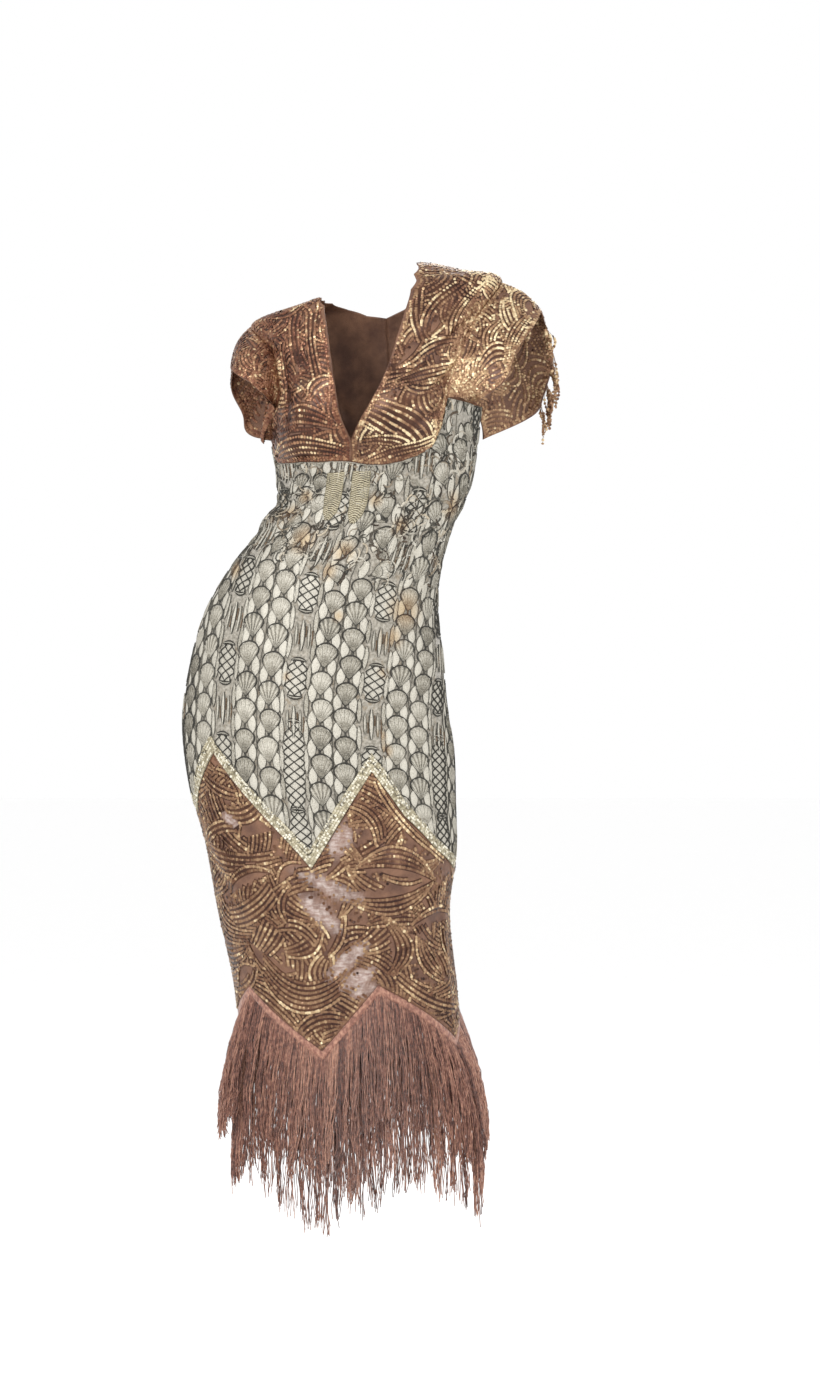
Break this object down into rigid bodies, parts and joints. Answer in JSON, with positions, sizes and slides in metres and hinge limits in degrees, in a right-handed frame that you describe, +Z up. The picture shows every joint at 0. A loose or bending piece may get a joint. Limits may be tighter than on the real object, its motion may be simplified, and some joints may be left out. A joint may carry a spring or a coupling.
{
  "type": "flapper dress",
  "caption": "Hollow, worn flapper dress with a V neck, flutter sleeves, a fan-patterned body with a zigzag hem, a sequinned skirt and a tiered fringe.",
  "frame": {"origin": "middle of the neck opening at shoulder height, where the wearer's shoulders hold the dress", "axes": "+Z up, the front faces -Y, +X towards the wearer's left"},
  "size_m": [0.507, 0.2775, 1.3239],
  "materials": {
    "copper_sequin": "gold and copper sequins on brown net",
    "ivory_fan": "ivory satin beaded and corded in grey",
    "pale_braid": "ribbed pale gold braid",
    "copper_fringe": "soft copper thread"
  },
  "bodies": {
    "root": {"bodice_front_right": "copper_sequin", "bodice_front_left": "copper_sequin", "bodice_back_right": "copper_sequin", "bodice_back_left": "copper_sequin", "sleeve_right": "copper_sequin", "sleeve_left": "copper_sequin", "body_front": "ivory_fan", "body_back": "ivory_fan", "braid_hem": "pale_braid", "braid_tab_right": "pale_braid", "braid_tab_left": "pale_braid", "skirt_front": "copper_sequin", "skirt_back": "copper_sequin", "fringe_upper": "copper_fringe", "fringe_lower": "copper_fringe"}
  },
  "joints": []
}
